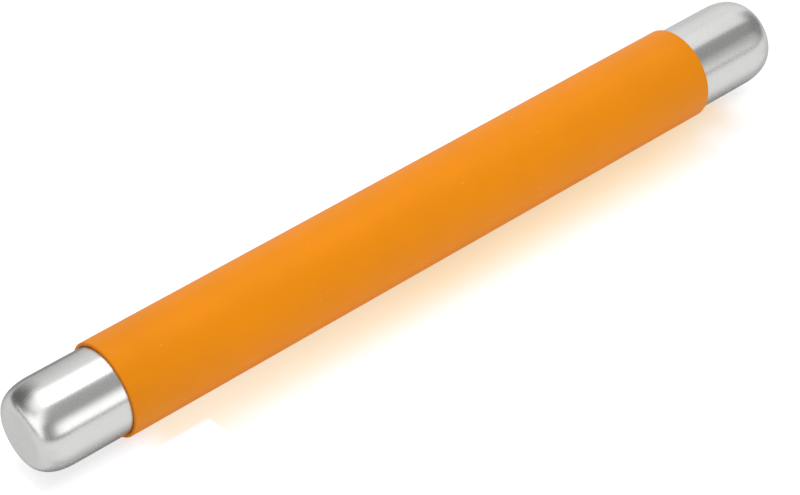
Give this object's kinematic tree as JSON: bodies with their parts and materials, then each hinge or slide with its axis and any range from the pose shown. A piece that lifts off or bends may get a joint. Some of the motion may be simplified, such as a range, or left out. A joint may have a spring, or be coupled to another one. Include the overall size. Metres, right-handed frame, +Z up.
{
  "type": "rolling pin",
  "caption": "Straight rolling pin for dough: a hollow steel body with rounded closed ends and a removable silicone sleeve.",
  "frame": {"origin": "centre of the pin's length, straight below its axis, on the surface that the pin lies on", "axes": "+X along the pin from its left end, which is nearest the camera, to its right end; +Z up; +Y away from the camera's side"},
  "size_m": [0.4, 0.042, 0.042],
  "materials": {
    "silicone": "matte moulded silicone, orange",
    "steel": "satin, brushed round the pin",
    "nylon": "matte, natural",
    "seal": "matte black rubber"
  },
  "bodies": {
    "pin_body": {"core_tube": "steel", "end_cup_left": "steel", "end_cup_right": "steel", "joint_ring_left": "nylon", "joint_ring_right": "nylon", "seal_left_outer": "seal", "seal_left_inner": "seal", "seal_right_inner": "seal", "seal_right_outer": "seal"},
    "sleeve": {"silicone_sleeve": "silicone"}
  },
  "joints": [
    {"name": "sleeve_slide", "type": "slide", "parent": "pin_body", "child": "sleeve", "axis": [1, 0, 0], "range_m": [-0.36, 0.366]}
  ]
}
